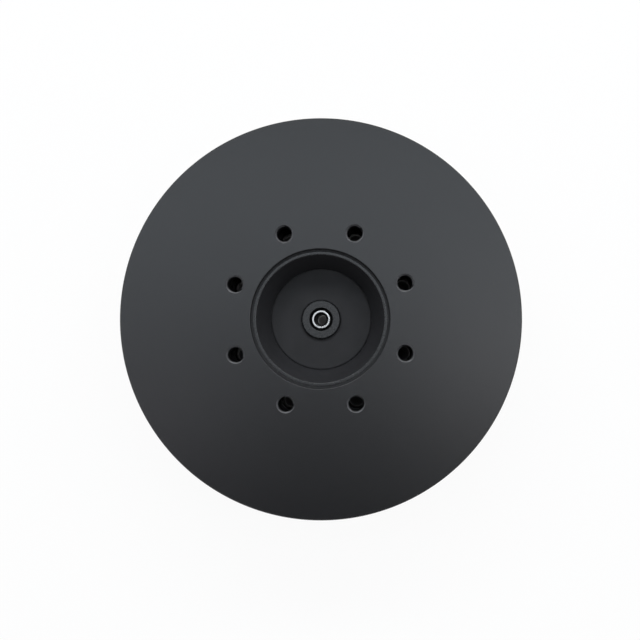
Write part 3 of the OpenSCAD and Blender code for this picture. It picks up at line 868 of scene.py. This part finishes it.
@dataclass
class StatorBase(SubAssembly):
    """The turned aluminium base: bearing tube, tapped ring, core carrier, spokes and rim."""

    recess_r: float = 8.0
    recess_z: float = 1.0
    pocket_r: float = 5.51
    land_r: float = 4.6
    land_z: float = 7.0
    front_z: float = 10.2
    tube_r: float = 8.0
    tube_z: float = 14.6
    plate_z: float = 3.0
    ring_r: float = 16.0
    rim_z: float = 6.0
    carrier_inner_r: float = 25.59
    carrier_r: float = 27.99
    carrier_z: float = 20.0
    shoulder_r: float = 29.39
    shoulder_z: float = 8.0
    rim_inner_r: float = 40.0
    rim_r: float = 43.3
    windows: int = 8
    window_inner_r: float = 30.19
    window_outer_r: float = 37.8
    spoke_w: float = 3.7
    window_ease: float = 0.35
    window_steps: int = 20
    notch_w: float = 9.0
    notch_overrun: float = 1.0
    starts: tuple[float, ...] = (40.0, 205.0, 310.0, 95.0, 170.0, 20.0, 260.0, 130.0)

    def outline(self) -> list[Corner]:
        """Gives the base's section, from the recess round the tube, the carrier and the rim.

        Returns:
            The corners in order.
        """
        return [
            Corner(self.pocket_r, self.recess_z, 0.15),
            Corner(self.pocket_r, self.land_z),
            Corner(self.land_r, self.land_z, 0.1),
            Corner(self.land_r, self.front_z, 0.1),
            Corner(self.pocket_r, self.front_z),
            Corner(self.pocket_r, self.tube_z, 0.3),
            Corner(self.tube_r, self.tube_z, 0.3),
            Corner(self.tube_r, self.plate_z, 0.4),
            Corner(self.ring_r, self.plate_z, 0.4),
            Corner(self.ring_r, self.rim_z, 0.25),
            Corner(self.carrier_inner_r, self.rim_z, 0.4),
            Corner(self.carrier_inner_r, self.carrier_z, 0.15),
            Corner(self.carrier_r, self.carrier_z, 0.15),
            Corner(self.carrier_r, self.shoulder_z),
            Corner(self.shoulder_r, self.shoulder_z, 0.12),
            Corner(self.shoulder_r, self.plate_z, 0.3),
            Corner(self.rim_inner_r, self.plate_z, 0.4),
            Corner(self.rim_inner_r, self.rim_z, 0.15),
            Corner(self.rim_r, self.rim_z, 0.15),
            Corner(self.rim_r, 0.0, 0.5),
            Corner(self.recess_r, 0.0, 0.12),
            Corner(self.recess_r, self.recess_z, 0.06),
        ]

    def window_cutters(self) -> BMesh:
        """Makes the cutters of the kidney-shaped windows, chamfered at both faces.

        Returns:
            The cutters.
        """
        middle_r = (self.window_inner_r + self.window_outer_r) / 2
        flare = 2 * self.window_ease
        end_r = (self.window_outer_r - self.window_inner_r) / 2
        half = math.radians(180 / self.windows) - math.asin((end_r + self.spoke_w / 2) / middle_r)
        wide_r = end_r + self.window_ease
        top_z = self.plate_z + self.window_ease
        one = bmesh.new()
        right = Matrix.Rotation(-half, 3, "Z")
        left = Matrix.Rotation(half, 3, "Z")
        lift = Vector((0.0, 0.0, top_z))
        outer = Vector((middle_r + wide_r, 0.0, 0.0))
        inner = Vector((middle_r - wide_r, 0.0, 0.0))
        centre = Vector((middle_r, 0.0, 0.0))
        for start, about, angle in (
            (right @ outer, Vector(), 2 * half),
            (left @ outer, left @ centre, math.pi),
            (left @ inner, Vector(), -2 * half),
            (right @ inner, right @ centre, math.pi),
        ):
            self.arc(one, start + lift, about, angle, self.window_steps)
        bmesh.ops.remove_doubles(one, verts=one.verts[:], dist=MERGE)
        mouth = bmesh.ops.contextual_create(one, geom=one.edges[:])["faces"][0]
        mouth.normal_update()
        if mouth.normal.z < 0:
            mouth.normal_flip()
        self.sunk(one, mouth, flare, top_z - flare - self.plate_z / 2, open_end=True)
        middle = Matrix.Translation((0.0, 0.0, -self.plate_z / 2))
        whole = one.verts[:] + one.edges[:] + one.faces[:]
        bmesh.ops.mirror(one, geom=whole, matrix=middle, merge_dist=MERGE, axis="Z")
        self.closed(one)
        bm = bmesh.new()
        for index in range(self.windows):
            self.joined(bm, one, Matrix.Rotation(math.tau * index / self.windows, 4, "Z"))
        one.free()
        return bm

    def notch_cutter(self) -> BMesh:
        """Makes the cutter of the notch that the leads' grommet sits in.

        Returns:
            The cutter.
        """
        height = 2 * (self.rim_z - self.plate_z)
        length = self.rim_r - self.rim_inner_r + 2 * self.notch_overrun
        centre = (0.0, -(self.rim_r + self.rim_inner_r) / 2, self.plate_z + height / 2)
        size = Matrix.Diagonal((self.notch_w, length, height, 1.0))
        bm = bmesh.new()
        bmesh.ops.create_cube(bm, size=1.0, matrix=Matrix.Translation(centre) @ size)
        return bm

    def zone(self, face: BMFace) -> int:
        """Gives 1 to what the lathe cut last, at the recess and the tube, and 0 to the blasted skin."""
        return int(face.calc_center_median().xy.length < self.recess_r + 0.01)

    def build(self) -> None:
        """Turns, mills, drills, taps and anodises the base."""
        holes = TappedCircle(0.0, self.rim_z, self.starts, downwards=True)
        casting = self.turned(self.outline(), steps=256)
        for cutter in (self.window_cutters(), holes.cutters(), self.notch_cutter()):
            casting = self.cut(casting, cutter)
        self.hand_over(
            casting, "stator_base_plate", Body.STATOR, Slot.BASE, (BLASTED, CUT), ("stator_base",),
            zone=self.zone,
        )
        holes.tap("base_threads", Body.STATOR, Slot.BASE)


@dataclass
class HollowShaft(SubAssembly):
    """The ground steel tube that carries the bell, grooved for its circlip."""

    bore_r: float = 1.2
    mouth_r: float = 1.64
    outer_r: float = 2.0
    low_z: float = 1.1
    top_z: float = 20.1
    groove_r: float = 1.75
    groove_z: float = 1.6
    groove_h: float = 0.5

    def zone(self, face: BMFace) -> int:
        """Gives a face its finish.

        Args:
            face: A face of the shaft.

        Returns:
            0 on the ground outside, 1 in the bore, its drilled steel darkened as painted shade, and 2 in its
            countersinks, painted near-black as shade.
        """
        centre = face.calc_center_median()
        if centre.xy.length > self.mouth_r - 0.02:
            return 0
        sink = self.mouth_r - self.bore_r
        return 1 if self.low_z + sink < centre.z < self.top_z - sink else 2

    def build(self) -> None:
        """Turns and grinds the shaft."""
        sink = self.mouth_r - self.bore_r
        outline = [
            Corner(self.bore_r, self.low_z + sink, 0.03),
            Corner(self.mouth_r, self.low_z, 0.03),
            Corner(self.outer_r, self.low_z, 0.15),
            Corner(self.outer_r, self.groove_z),
            Corner(self.groove_r, self.groove_z),
            Corner(self.groove_r, self.groove_z + self.groove_h),
            Corner(self.outer_r, self.groove_z + self.groove_h),
            Corner(self.outer_r, self.top_z, 0.05),
            Corner(self.mouth_r, self.top_z, 0.02),
            Corner(self.bore_r, self.top_z - sink, 0.03),
        ]
        tube = self.turned(outline, steps=96)
        self.hand_over(
            tube, "hollow_shaft", Body.ROTOR, Slot.SHAFT, (GROUND, DRILLED_AND_SHADED, COUNTERSINK_SHADE), ("shaft",),
            zone=self.zone,
        )


@dataclass
class Windings(SubAssembly):
    """Tooth coils wound from enamelled wire in two layers, with the links between them.

    Each phase takes every third pair of neighbouring teeth. Its start runs to the grommet, and its end to the
    star point under the sleeve. Places along the links and tails are in millimetres and degrees.

    nesting: Share of the wire's diameter by which the upper layer lies over the lower one.
    least_bend: Smallest bend of the wire at a coil's corners.
    knots: Points on the wire's path at each corner of a coil.
    lift: How far a turn may lie off its place.
    aside: How far beside its tooth's middle a link leaves a coil.
    first_tooth: Tooth at which the first phase starts.
    under_route: Radius, share of the turn and height where a start wire passes under the coils.
    grommet_mouth: Distance from the shaft axis and height where it rises to its hole in the grommet.
    grommet_reach: How far it goes into the hole.
    ledge_route: Radius, turn and height where an end wire drops to the ledge.
    ledge_turn: Turn at which it reaches its lane there.
    strand_turns: Where the strands lie in the sleeve, past its middle.
    """

    teeth: int = 36
    wire_d: float = 0.40
    turns: int = 12
    inner_x: float = 31.6
    outer_x: float = 36.6
    low_z: float = 6.1
    top_z: float = 21.9
    side_gap: float = 0.25
    corner_r: float = 1.4
    nesting: float = 0.85
    least_bend: float = 0.3
    knots: int = 5
    lift: float = 0.03
    seed: int = 11
    aside: float = 1.0
    first_tooth: int = 24
    lane_r: float = 29.75
    lane_step: float = 0.45
    lane_z: float = 7.0
    link_z: float = 6.35
    ramp: float = 2.2
    tail_r: float = 31.8
    under_route: tuple[Triple, ...] = ((32.6, 0.25, 5.7), (35.0, 0.75, 5.3))
    ledge_route: tuple[Triple, ...] = ((32.8, 1.5, 5.2), (36.4, 4.0, 4.0))
    ledge_turn: float = 9.0
    ledge_lane_r: float = 38.35
    ledge_lane_step: float = 0.42
    ledge_lane_z: tuple[float, ...] = (3.35, 3.35, 3.8)
    strand_spread: float = 0.28
    grommet_y: float = 39.2
    grommet_z: float = 4.5
    grommet_pitch: float = 2.7
    grommet_mouth: tuple[float, float] = (37.6, 4.9)
    grommet_reach: float = 2.2
    sleeve_r: float = 38.9
    sleeve_z: float = 4.0
    sleeve_angle: float = 286.0
    strand_turns: tuple[float, ...] = (1.0, 4.0)

    def coil_path(self, rng: random.Random) -> list[Vector]:
        """Gives the wire's path round the tooth on the X axis: out in the lower layer, back in the upper one.

        Args:
            rng: Source of the small unevenness of a wound coil.

        Returns:
            The path's points.
        """
        wire_r = self.wire_d / 2
        pitch = (self.outer_x - self.inner_x - self.wire_d) / (self.turns - 1)
        half_pitch = math.pi / self.teeth
        points = []
        for layer, turn in product(range(2), range(self.turns)):
            sink = wire_r + (1 - layer) * self.wire_d * self.nesting
            radius = max(self.corner_r - sink, self.least_bend)
            bend = radius + min(rng.uniform(-self.lift, self.lift), 0.0)
            rise = (self.top_z - self.low_z) / 2 - sink - radius
            for corner, knot in product(range(4), range(self.knots)):
                share = (corner + knot / self.knots) / 4
                along = min(max(turn + share - 0.5 * layer, 0.0), self.turns - 1.0)
                x = self.inner_x + wire_r + pitch * along
                if layer:
                    x = self.inner_x + self.outer_x - x
                spread = x * math.tan(half_pitch) - self.side_gap / math.cos(half_pitch) - sink - radius
                angle = math.radians(-90 + 90 * corner + 90 * knot / (self.knots - 1))
                y = (spread if corner < 2 else -spread) + bend * math.cos(angle)
                z = (rise if corner in (1, 2) else -rise) + bend * math.sin(angle)
                points.append(Vector((x, y, (self.low_z + self.top_z) / 2 + z)))
        return points

    def swept(self, paths: Sequence[Sequence[Vector]], smooth: bool) -> BMesh:
        """Sweeps the wire along paths.

        Args:
            paths: The points of each path, in millimetres.
            smooth: Bends the wire softly through its points.

        Returns:
            The wires' mesh.
        """
        curve = bpy.data.curves.new("wire", "CURVE")
        curve.dimensions = "3D"
        curve.bevel_depth = self.wire_d / 2
        curve.bevel_resolution = 1
        curve.resolution_u = 5
        curve.use_fill_caps = True
        for points in paths:
            spline = curve.splines.new("BEZIER" if smooth else "POLY")
            knots = spline.bezier_points if smooth else spline.points
            knots.add(len(points) - 1)
            for knot, point in zip(knots, points):
                knot.co = point if smooth else (*point, 1.0)
                if smooth:
                    knot.handle_left_type = "AUTO"
                    knot.handle_right_type = "AUTO"
        thing = linked("wire", curve)
        bm = bmesh.new()
        bm.from_mesh(evaluated(thing))
        bpy.data.objects.remove(thing)
        bpy.data.curves.remove(curve)
        return bm

    def at(self, r: float, degrees: float, z: float) -> Vector:
        """Gives the point at a radius, an angle and a height."""
        angle = math.radians(degrees)
        return Vector((r * math.cos(angle), r * math.sin(angle), z))

    def link(self, phase: int, start: float, end: float) -> list[Vector]:
        """Gives a link wire's path from one coil's inner end to the next one's.

        Args:
            phase: Number of the phase, which has its own lane round the carrier.
            start: Angle at which the wire leaves, in degrees.
            end: Angle at which it arrives.

        Returns:
            The path's points.
        """
        lane_r = self.lane_r + self.lane_step * phase
        coil_r = self.inner_x + self.wire_d / 2
        low = self.link_z
        ramp = self.ramp
        steps = max(2, int((end - start - 2 * ramp) / 4))
        ends = ((coil_r, 0.0, low), (coil_r - 0.5, 0.5 * ramp, low), (lane_r + 0.1, ramp, low + 0.1))
        path = [self.at(r, start + turn, z) for r, turn, z in ends]
        for index in range(steps + 1):
            turn = 1.4 * ramp + (end - start - 2.8 * ramp) * (index / steps)
            path.append(self.at(lane_r, start + turn, self.lane_z))
        return path + [self.at(r, end - turn, z) for r, turn, z in reversed(ends)]

    def tail_to_grommet(self, phase: int, start: float) -> list[Vector]:
        """Gives the path of a phase's first wire, under the coils and into its hole in the grommet.

        Args:
            phase: Number of the phase.
            start: Angle at which the wire leaves its coil.

        Returns:
            The path's points.
        """
        x = (phase - 1) * self.grommet_pitch
        sweep = math.degrees(math.atan2(-self.grommet_y, x)) % 360 - start
        route = ((self.tail_r, 0.0, self.link_z), *self.under_route)
        path = [self.at(r, start + share * sweep, z) for r, share, z in route]
        ends = ((y, self.grommet_z) for y in (self.grommet_y, self.grommet_y + self.grommet_reach))
        return path + [Vector((x, -y, z)) for y, z in (self.grommet_mouth, *ends)]

    def tail_to_star(self, phase: int, start: float) -> list[Vector]:
        """Gives the path of a phase's last wire, along the ledge and into the star point's sleeve.

        Args:
            phase: Number of the phase.
            start: Angle at which the wire leaves its coil.

        Returns:
            The path's points.
        """
        lane_r = self.ledge_lane_r + self.ledge_lane_step * (phase % 2)
        lane_z = self.ledge_lane_z[phase]
        route = ((self.tail_r, 0.0, self.link_z), *self.ledge_route, (lane_r, self.ledge_turn, lane_z))
        path = [self.at(r, start + turn, z) for r, turn, z in route]
        step = 5.0
        angle = start + self.ledge_turn + step
        while angle < self.sleeve_angle - step:
            path.append(self.at(lane_r, angle, lane_z))
            angle += step
        end_r = self.sleeve_r + self.strand_spread * math.cos(phase * math.tau / 3)
        end_z = self.sleeve_z + self.strand_spread * math.sin(phase * math.tau / 3)
        return path + [self.at(end_r, self.sleeve_angle + turn, end_z) for turn in self.strand_turns]

    def phase_paths(self, phase: int) -> list[list[Vector]]:
        """Gives the paths of a phase's links and tails.

        Args:
            phase: Number of the phase.

        Returns:
            One list of points for each wire.
        """
        step = 360 / self.teeth
        first = self.first_tooth + 2 * phase
        pairs = self.teeth // 6
        paths = []
        for pair in range(pairs):
            here = (first + 6 * pair) * step
            paths.append(self.link(phase, here + self.aside, here + step - self.aside))
            if pair < pairs - 1:
                paths.append(self.link(phase, here + step + self.aside, here + 6 * step - self.aside))
        start = first * step
        paths.append(self.tail_to_grommet(phase, start - self.aside))
        paths.append(self.tail_to_star(phase, start - 5 * step + self.aside))
        return paths

    def build(self) -> None:
        """Winds the three phases."""
        rng = random.Random(self.seed)
        for phase, letter in enumerate("abc"):
            coils = []
            for tooth in range(self.teeth):
                if tooth % 6 // 2 == phase:
                    turn = Matrix.Rotation(math.tau * tooth / self.teeth, 3, "Z")
                    coils.append([turn @ point for point in self.coil_path(rng)])
            bm = self.swept(coils, smooth=False)
            links = self.swept(self.phase_paths(phase), smooth=True)
            self.joined(bm, links, Matrix.Identity(4))
            links.free()
            self.hand_over(
                bm, f"windings_phase_{letter}", Body.STATOR, Slot.COPPER, (COPPER,),
                (f"coils_phase_{letter}",), crease=70.0, even=False,
            )


@dataclass(frozen=True)
class Softened:
    """A carried-over piece whose edges are broken.

    node: The CAD node.
    name: The piece's name.
    body: The body that it rides on.
    slot: The record's material slot.
    finish: Its finish.
    ease: How far its edges are rounded, in millimetres.
    """

    node: str
    name: str
    body: Body
    slot: Slot
    finish: Finish
    ease: float


@dataclass
class SmallParts(SubAssembly):
    """The pieces whose solids are already right, with their edges broken and their finishes on.

    flat: Faces that meet at less than this many degrees are made one.
    sharp: Edges that turn by more than this many degrees are broken.
    """

    flat: float = 0.5
    sharp: float = 30.0
    softened: tuple[Softened, ...] = (
        Softened("stator_core", "core_stack", Body.STATOR, Slot.CORE, SHEETS, 0.06),
        Softened("rear_end_insulator", "rear_insulator_board", Body.STATOR, Slot.BOARD, BOARD, 0.06),
        Softened("front_end_insulator", "front_insulator_board", Body.STATOR, Slot.BOARD, BOARD, 0.06),
        Softened("flux_ring", "flux_ring_band", Body.ROTOR, Slot.FLUX, ROLLED, 0.1),
        Softened("magnets_north", "magnet_arcs_north", Body.ROTOR, Slot.MAGNET, NICKEL, 0.15),
        Softened("magnets_south", "magnet_arcs_south", Body.ROTOR, Slot.MAGNET, NICKEL, 0.15),
        Softened("lead_grommet", "grommet_moulding", Body.STATOR, Slot.RUBBER, RUBBER, 0.16),
        Softened("star_splice_sleeve", "splice_sleeve", Body.STATOR, Slot.SHRINK, SHRINK, 0.3),
        Softened("shaft_circlip", "circlip", Body.ROTOR, Slot.SHAFT, OXIDED, 0.05),
        Softened("rear_thrust_washer", "thrust_washer", Body.ROTOR, Slot.SHAFT, GROUND, 0.05),
        Softened("rear_bearing_outer_race", "rear_outer_ring", Body.STATOR, Slot.BEARING, RACE, 0.04),
        Softened("rear_bearing_inner_race", "rear_inner_ring", Body.ROTOR, Slot.BEARING, RACE, 0.04),
        Softened("rear_bearing_shields", "rear_shield_rings", Body.STATOR, Slot.BEARING, SHIELD, 0.04),
    )
    kept: tuple[tuple[str, Finish], ...] = (
        ("front_shim", GROUND),
        ("inner_race_spacer", GROUND),
        ("front_bearing_outer_race", RACE),
        ("front_bearing_inner_race", RACE),
        ("front_bearing_shields", SHIELD),
        ("front_bearing_balls", RACE),
        ("rear_bearing_balls", RACE),
        ("front_bearing_cage", SHIELD),
        ("rear_bearing_cage", SHIELD),
        ("bearing_wave_spring", SPRUNG),
    )

    def soften(self, part: Softened) -> None:
        """Breaks the edges of a merged copy of a node.

        Args:
            part: The node, and what it becomes.
        """
        bm = bmesh.new()
        bm.from_mesh(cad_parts[part.node].data)
        bmesh.ops.scale(bm, vec=(1 / MM, 1 / MM, 1 / MM), verts=bm.verts[:])
        bmesh.ops.remove_doubles(bm, verts=bm.verts[:], dist=10 * MERGE)
        bmesh.ops.dissolve_limit(
            bm, angle_limit=math.radians(self.flat), verts=bm.verts[:], edges=bm.edges[:], delimit=set(),
        )
        least = math.radians(self.sharp)
        sharp = [edge for edge in bm.edges if edge.is_manifold and edge.calc_face_angle() > least]
        bmesh.ops.bevel(
            bm, geom=sharp, offset=part.ease, offset_type="OFFSET", segments=2, profile=0.5, affect="EDGES",
            clamp_overlap=True, material=-1,
        )
        self.hand_over(bm, part.name, part.body, part.slot, (part.finish,), (part.node,))

    def build(self) -> None:
        """Breaks the edges of what shows, and finishes what stays as it is."""
        for part in self.softened:
            self.soften(part)
        for node, finish in self.kept:
            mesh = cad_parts[node].data
            mesh.materials.clear()
            mesh.materials.append(finish.material())
            LOG.info("%s: kept as it is, in %s", node, finish.name)


def facing(back: Vector, roll: float = 0.0) -> Quaternion:
    """Turns a lamp or a camera that looks down, with +Y upwards in its picture.

    Args:
        back: The way its back points.
        roll: How far it is turned about its own axis, in degrees.

    Returns:
        Its rotation.
    """
    away = back.normalized()
    right = Vector((0.0, 1.0, 0.0)).cross(away).normalized()
    turn = Matrix((right, away.cross(right), away)).transposed()
    return (turn @ Matrix.Rotation(math.radians(roll), 3, "Z")).to_quaternion()


@dataclass(frozen=True)
class SoftBox:
    """A flat studio lamp with an even face, which hangs level and faces the object's height.

    place: Where it hangs.
    width: Its size across.
    depth: Its size the other way.
    radiance: Brightness of its face, where 1 looks white.
    """

    name: str
    place: Triple
    width: float
    depth: float
    radiance: float
    tint: Colour = (1.0, 1.0, 1.0)

    def hang(self) -> None:
        """Hangs the lamp in the scene."""
        data = bpy.data.lights.new(self.name, "AREA")
        data.shape = "RECTANGLE"
        data.size = self.width * MM
        data.size_y = self.depth * MM
        data.energy = self.radiance * math.pi * data.size * data.size_y
        data.color = self.tint
        lamp = linked(self.name, data)
        lamp.location = Vector(self.place) * MM
        lamp.rotation_mode = "QUATERNION"
        lamp.rotation_quaternion = facing(Vector((0.0, 0.0, self.place[2])))
        lamp.visible_camera = False


@dataclass
class Studio:
    """Pale floor, soft lamps and the camera over the rotor's face.

    seen_w: How wide the picture is at the face, in millimetres.
    distance: From the camera to the face.
    lean_x: How far the camera leans to the right, in degrees.
    lean_y: How far it leans towards the lead exit, in degrees.
    roll: How far it is turned about its own axis, in degrees.
    aim_x: Where it aims on the face.
    aim_y: Where it aims on the face.
    horizon: Light from the room's walls, where 1 looks white.
    zenith: Light from its ceiling.
    beneath: Light from straight below.
    low_fade: Heights between which the light from below becomes that of the walls, where 1 is overhead.
    high_fade: Heights between which the walls' light becomes that of the ceiling.
    paper_white: How far the floor looks white to the camera, past its own shading.
    footprint: Radius of the floor under the object, which lets light through.
    shadow_pale_r: Radius of the paler middle of the shadow painted on the floor under the object, which shows
    through the shaft's bore.
    shadow_dark_r: Radius from which that painted shadow is darkest.
    """

    face_z: float = 27.5
    seen_w: float = 139.9
    distance: float = 300.0
    lean_x: float = 1.9
    lean_y: float = 1.0
    roll: float = -0.44
    aim_x: float = 0.0
    aim_y: float = -0.26
    sensor: float = 36.0
    horizon: float = 0.36
    zenith: float = 0.02
    beneath: float = 0.03
    low_fade: tuple[float, float] = (-0.9, -0.6)
    high_fade: tuple[float, float] = (0.35, 0.75)
    floor_r: float = 4000.0
    floor_gap: float = 0.05
    paper_white: float = 0.94
    footprint: float = 42.5
    shadow_pale_r: float = 3.0
    shadow_dark_r: float = 9.0
    lamps: tuple[SoftBox, ...] = (
        SoftBox("overhead", (44.0, 104.0, 627.5), 1300.0, 196.0, 2.16, (0.92, 1.0, 1.08)),
        SoftBox("window", (44.0, 640.0, 627.5), 1300.0, 340.0, 8.0, (0.97, 1.0, 1.03)),
        SoftBox("wing_left", (-321.0, -52.0, 627.0), 478.0, 38.0, 3.39, (0.99, 0.97, 1.04)),
        SoftBox("wing_right", (310.0, -24.0, 627.0), 500.0, 74.0, 3.93, (0.99, 0.99, 1.02)),
        SoftBox("under_left", (-330.0, 0.0, -500.0), 300.0, 960.0, 1.6),
        SoftBox("under_right", (330.0, 0.0, -500.0), 300.0, 960.0, 1.6),
        SoftBox("under_front", (0.0, -330.0, -500.0), 360.0, 300.0, 1.6),
        SoftBox("under_back", (0.0, 330.0, -500.0), 360.0, 300.0, 1.6),
    )

    def background(self) -> None:
        """Makes the room grey to the object and white to the camera."""
        world = bpy.data.worlds.new("room")
        bpy.context.scene.world = world
        graph = Graph(world)
        graph.shader.inputs["Color"].default_value = (1.0, 1.0, 1.0, 1.0)
        rays = graph.add("ShaderNodeLightPath").outputs
        seen = graph.maths("MAXIMUM", rays["Is Camera Ray"], rays["Is Transmission Ray"])
        height = graph.add("ShaderNodeSeparateXYZ", {0: graph.places["Generated"]}).outputs["Z"]
        walls = graph.span(height, self.beneath, self.horizon, *self.low_fade)
        ceiling = graph.span(height, self.horizon, self.zenith, *self.high_fade)
        room = graph.maths("MINIMUM", walls, ceiling)
        graph.feed("Strength", graph.span(seen, room, 1.0, 0.0, 1.0))

    def floor_material(self) -> bpy.types.Material:
        """Makes the floor's paper: white to the camera and in reflections, and shaded by the object.

        Under the object its colour is painted dark as the object's shadow, paler in the middle under the
        shaft's bore, and it lets light from below through and hides nothing from a camera below it.

        Returns:
            The material.
        """
        material = bpy.data.materials.new("floor_paper")
        graph = Graph(material)
        rays = graph.add("ShaderNodeLightPath").outputs
        speckle = graph.span(graph.noise(3.0, 3.0), 0.0, 1.0)
        pale = graph.blend(speckle, (0.84, 0.84, 0.84), (0.86, 0.86, 0.86))
        # Painted shadow under the object: the paper darkens away from the middle under the shaft's bore.
        distance = graph.add("ShaderNodeVectorMath", {0: graph.place}, operation="LENGTH").outputs["Value"]
        away = graph.span(distance, 0.0, 1.0, self.shadow_pale_r * MM, self.shadow_dark_r * MM)
        painted_shadow = graph.blend(away, (0.5, 0.5, 0.5), (0.12, 0.12, 0.12))
        edge = graph.span(distance, 0.0, 1.0, (self.footprint - 1) * MM, self.footprint * MM)
        graph.feed("Base Color", graph.blend(edge, painted_shadow, pale))
        graph.shader.inputs["Roughness"].default_value = 0.9
        outside = graph.maths("GREATER_THAN", distance, self.footprint * MM)
        mirrored = graph.maths("MAXIMUM", rays["Is Glossy Ray"], rays["Is Transmission Ray"])
        seen = graph.maths("MAXIMUM", rays["Is Camera Ray"], mirrored)
        white = graph.add("ShaderNodeEmission", {"Color": (1.0, 1.0, 1.0, 1.0), "Strength": 1.0})
        share = graph.maths("MULTIPLY", graph.maths("MULTIPLY", seen, outside), self.paper_white)
        paper = graph.add("ShaderNodeMixShader", {0: share, 1: graph.shader.outputs[0], 2: white.outputs[0]})
        beneath = graph.maths("SUBTRACT", 1.0, outside)
        unseen = graph.maths("SUBTRACT", 1.0, rays["Is Camera Ray"])
        from_below = graph.add("ShaderNodeNewGeometry").outputs["Backfacing"]
        clear = graph.maths("MAXIMUM", from_below, graph.maths("MULTIPLY", beneath, unseen))
        nothing = graph.add("ShaderNodeBsdfTransparent")
        mixed = graph.add("ShaderNodeMixShader", {0: clear, 1: paper.outputs[0], 2: nothing.outputs[0]})
        graph.tree.links.new(mixed.outputs[0], graph.tree.nodes["Material Output"].inputs["Surface"])
        return material

    def floor(self) -> None:
        """Lays the floor just under the rear face."""
        bm = bmesh.new()
        bmesh.ops.create_circle(
            bm, cap_ends=True, segments=96, radius=self.floor_r * MM,
            matrix=Matrix.Translation((0.0, 0.0, -self.floor_gap * MM)),
        )
        mesh = bpy.data.meshes.new("floor")
        bm.to_mesh(mesh)
        bm.free()
        mesh.materials.append(self.floor_material())
        floor = linked("floor", mesh)

    def camera(self) -> None:
        """Sets the camera over the face, as the photograph was taken."""
        data = bpy.data.cameras.new("camera")
        data.sensor_width = self.sensor
        data.lens = self.sensor * self.distance / self.seen_w
        data.clip_start = 0.01
        data.clip_end = 20.0
        camera = linked("camera", data)
        aim = Vector((self.aim_x, self.aim_y, self.face_z))
        lean = Vector((math.tan(math.radians(self.lean_x)), -math.tan(math.radians(self.lean_y)), 1.0))
        back = lean.normalized()
        camera.location = (aim + back * self.distance) * MM
        camera.rotation_mode = "QUATERNION"
        camera.rotation_quaternion = facing(back, self.roll)
        bpy.context.scene.camera = camera

    def build(self) -> None:
        """Sets up the room."""
        bpy.context.scene.view_settings.view_transform = "Standard"
        self.background()
        self.floor()
        self.camera()
        for lamp in self.lamps:
            lamp.hang()


def main() -> None:
    """Builds and dresses the motor, then the studio round it."""
    logging.basicConfig(level=logging.INFO, format="%(name)s: %(message)s")
    for part in (RotorBell(), StatorBase(), HollowShaft(), Windings(), SmallParts(), Studio()):
        LOG.info("building %s", type(part).__name__)
        part.build()


if __name__ == "__main__":
    main()
